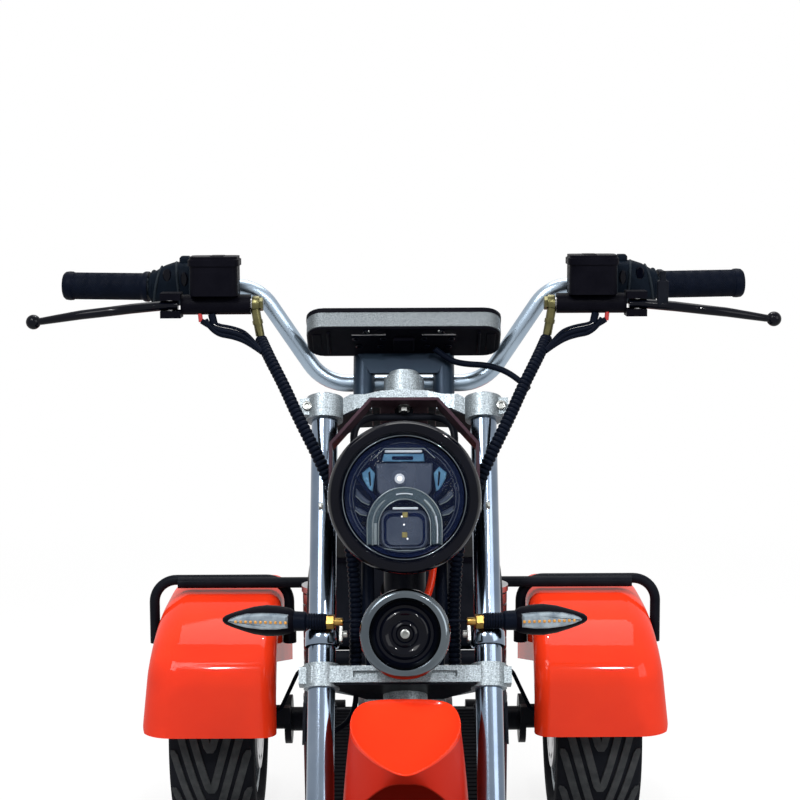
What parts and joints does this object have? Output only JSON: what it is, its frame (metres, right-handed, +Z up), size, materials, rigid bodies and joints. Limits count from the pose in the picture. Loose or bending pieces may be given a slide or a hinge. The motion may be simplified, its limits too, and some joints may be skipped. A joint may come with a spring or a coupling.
{
  "type": "three-wheeled electric scooter",
  "caption": "Electric trike scooter: telescopic front fork with round headlamp and horn, wide handlebar with display, low deck, long seat, broad rear mudguards with a tube rack.",
  "frame": {"origin": "on the ground under the middle of the overall box", "axes": "+Z up, front wheel towards -Y, +X is the vehicle's left-hand side seen from the rider, right in the front view"},
  "size_m": [0.966, 1.8039, 1.0839],
  "materials": {
    "black_frame": "satin",
    "red_body": "gloss",
    "silver_cast": "cast satin",
    "chrome": "polished",
    "satin_bar": "satin",
    "steel": "brushed",
    "strap_steel": "satin",
    "black_plastic": "matte",
    "gloss_black": "gloss",
    "grip_rubber": "matte",
    "hose_rubber": "matte",
    "tyre_rubber": "matte",
    "lens_glass": "clear tint",
    "screen_glass": "gloss",
    "lamp_silver": "metallised",
    "seat_cover": "grained",
    "battery_case": "satin",
    "signal_shell": "satin"
  },
  "bodies": {
    "frame": {"neck_frame": "black_frame", "rail_left": "black_frame", "rail_right": "black_frame", "cross_tubes": "black_frame", "battery_box": "battery_case", "battery": "black_plastic", "footboard": "black_frame", "seat_cowl": "red_body", "seat_pan": "black_plastic", "driver_seat": "seat_cover", "passenger_seat": "seat_cover", "rear_lamps": "signal_shell", "rear_rack": "black_frame", "rear_fender_left": "red_body", "rear_fender_right": "red_body", "swing_arms": "black_frame", "rear_axle": "black_frame", "motor_housing": "silver_cast", "rear_calipers": "silver_cast", "rear_shocks": "steel", "rear_hoses": "hose_rubber"},
    "steering": {"lower_yoke": "silver_cast", "upper_yoke": "silver_cast", "fork_tubes": "chrome", "fork_sliders": "black_frame", "front_axle": "steel", "front_caliper": "silver_cast", "front_fender": "red_body", "headlamp_bucket": "gloss_black", "headlamp_lens": "lens_glass", "headlamp_module": "lamp_silver", "headlamp_bracket": "strap_steel", "lamp_hoop": "black_frame", "horn": "chrome", "handlebar": "satin_bar", "bar_risers": "black_frame", "grips": "grip_rubber", "switch_housings": "black_plastic", "brake_masters": "black_plastic", "brake_levers": "black_frame", "hose_bundles": "hose_rubber", "display_housing": "black_plastic", "display_screen": "screen_glass", "front_signals": "signal_shell"},
    "front_wheel": {"front_tyre": "tyre_rubber", "front_rim": "silver_cast", "front_disc": "steel"},
    "rear_wheel_left": {"rear_tyre_left": "tyre_rubber", "rear_rim_left": "silver_cast", "rear_disc_left": "steel"},
    "rear_wheel_right": {"rear_tyre_right": "tyre_rubber", "rear_rim_right": "silver_cast", "rear_disc_right": "steel"}
  },
  "joints": [
    {"name": "steering", "type": "hinge", "parent": "frame", "child": "steering", "pos_m": [0, -0.43801, 0.56894], "axis": [0, 0.4695, 0.8829], "range_deg": [-40, 40]},
    {"name": "front_wheel_spin", "type": "hinge", "parent": "steering", "child": "front_wheel", "pos_m": [0, -0.666, 0.236], "axis": [1, 0, 0], "continuous": true},
    {"name": "rear_wheel_left_spin", "type": "hinge", "parent": "frame", "child": "rear_wheel_left", "pos_m": [-0.335, 0.642, 0.2], "axis": [1, 0, 0], "continuous": true},
    {"name": "rear_wheel_right_spin", "type": "hinge", "parent": "frame", "child": "rear_wheel_right", "pos_m": [0.335, 0.642, 0.2], "axis": [1, 0, 0], "continuous": true}
  ]
}
